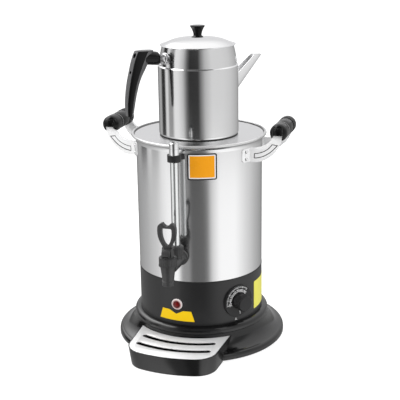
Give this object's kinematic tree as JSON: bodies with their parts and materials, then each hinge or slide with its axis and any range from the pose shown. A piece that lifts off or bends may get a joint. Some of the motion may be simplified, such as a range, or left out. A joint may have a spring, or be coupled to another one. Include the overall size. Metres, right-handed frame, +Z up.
{
  "type": "hot water urn",
  "caption": "Electric hot water urn on a black heated base, with a lever tap, sight glass, side handles, drip tray and a teapot keeping warm on its lid.",
  "frame": {"origin": "on the floor, under the axis of the tank", "axes": "+Z up, -Y to the front where the tap and the drip tray are, +X to the right seen from the front"},
  "size_m": [0.344, 0.372, 0.579],
  "materials": {
    "satin_steel": "polished with a soft grain",
    "lid_steel": "satin",
    "rubber": "matte",
    "black_enamel": "gloss",
    "gloss_black_plastic": "gloss",
    "zinc_plate": "plain",
    "element_steel": "dull",
    "brass": "plain",
    "ivory_plastic": "plain",
    "matte_black_plastic": "satin",
    "clear_pink": "clear rim",
    "red_lens": "gloss",
    "bright_steel": "bright",
    "chrome": "polished",
    "grey_plastic": "fine grain",
    "white_plastic": "plain",
    "glass": "clear",
    "bakelite": "gloss"
  },
  "bodies": {
    "urn": {"tank": "satin_steel", "seam_gasket": "rubber", "base_shell": "black_enamel", "base_skirt": "gloss_black_plastic", "base_plate": "zinc_plate", "rubber_feet": "rubber", "base_screws": "zinc_plate", "heating_element": "element_steel", "element_gaskets": "rubber", "element_nuts": "brass", "thermostat_body": "ivory_plastic", "thermostat_bulb": "brass", "panel_screws": "zinc_plate", "overheat_cutout": "zinc_plate", "terminal_block": "ivory_plastic", "cable_gland": "matte_black_plastic", "gland_locknut": "matte_black_plastic", "lamp_body": "ivory_plastic", "lamp_bezel": "clear_pink", "lamp_lens": "red_lens", "dial_plate": "matte_black_plastic", "right_front_arm": "chrome", "right_rear_arm": "chrome", "left_front_arm": "chrome", "left_rear_arm": "chrome", "handle_rivets": "chrome", "right_grip_ends": "gloss_black_plastic", "left_grip_ends": "gloss_black_plastic", "right_grip_barrel": "gloss_black_plastic", "left_grip_barrel": "gloss_black_plastic", "grip_rods": "bright_steel", "tap_body": "grey_plastic", "tap_rosette": "grey_plastic", "tap_gaskets": "rubber", "tap_backnut": "brass", "tap_collar": "grey_plastic", "tap_bonnet": "grey_plastic", "glass_nut": "grey_plastic", "glass_seal": "rubber", "sight_glass": "glass", "glass_sleeve": "chrome", "glass_cap": "chrome", "glass_clip": "matte_black_plastic"},
    "lid": {"tank_lid": "lid_steel"},
    "teapot": {"pot_body": "satin_steel", "pot_spout": "satin_steel", "pot_ferrule": "chrome", "pot_handle": "bakelite"},
    "teapot_lid": {"pot_lid": "satin_steel", "pot_lid_knob": "bakelite"},
    "knob": {"thermostat_knob": "matte_black_plastic", "thermostat_spindle": "bright_steel"},
    "valve": {"tap_stem": "white_plastic", "tap_seat_cup": "rubber", "tap_spring": "zinc_plate", "tap_lever_pin": "zinc_plate"},
    "lever": {"tap_lever": "grey_plastic"},
    "tray": {"tray_pan": "gloss_black_plastic"},
    "tray_top": {"tray_grid": "lid_steel"}
  },
  "joints": [
    {"name": "lid_lift", "type": "slide", "parent": "urn", "child": "lid", "axis": [0, 0, 1], "range_m": [0, 0.05]},
    {"name": "teapot_lift", "type": "slide", "parent": "lid", "child": "teapot", "axis": [0, 0, 1], "range_m": [0, 0.06]},
    {"name": "teapot_lid_lift", "type": "slide", "parent": "teapot", "child": "teapot_lid", "axis": [0, 0, 1], "range_m": [0, 0.04]},
    {"name": "thermostat_turn", "type": "hinge", "parent": "urn", "child": "knob", "pos_m": [0, 0, 0.093], "axis": [-0.7986, 0.6018, 0], "range_deg": [0, 270]},
    {"name": "valve_lift", "type": "slide", "parent": "urn", "child": "valve", "axis": [0, 0, 1], "range_m": [0, 0.004], "deforming": ["tap_spring"]},
    {"name": "lever_pull", "type": "hinge", "parent": "valve", "child": "lever", "pos_m": [0, -0.187, 0.22], "axis": [1, 0, 0], "range_deg": [0, 35], "stiffness_Nm_per_rad": 0.05, "springref_deg": -22.92},
    {"name": "tray_pull", "type": "slide", "parent": "urn", "child": "tray", "axis": [0, -1, 0], "range_m": [0, 0.12]},
    {"name": "tray_top_lift", "type": "slide", "parent": "tray", "child": "tray_top", "axis": [0, 0, 1], "range_m": [0, 0.03]}
  ],
  "couplings": [
    {"joint": "lever_pull", "follows": "valve_lift", "rad_per_m": 152.7}
  ]
}
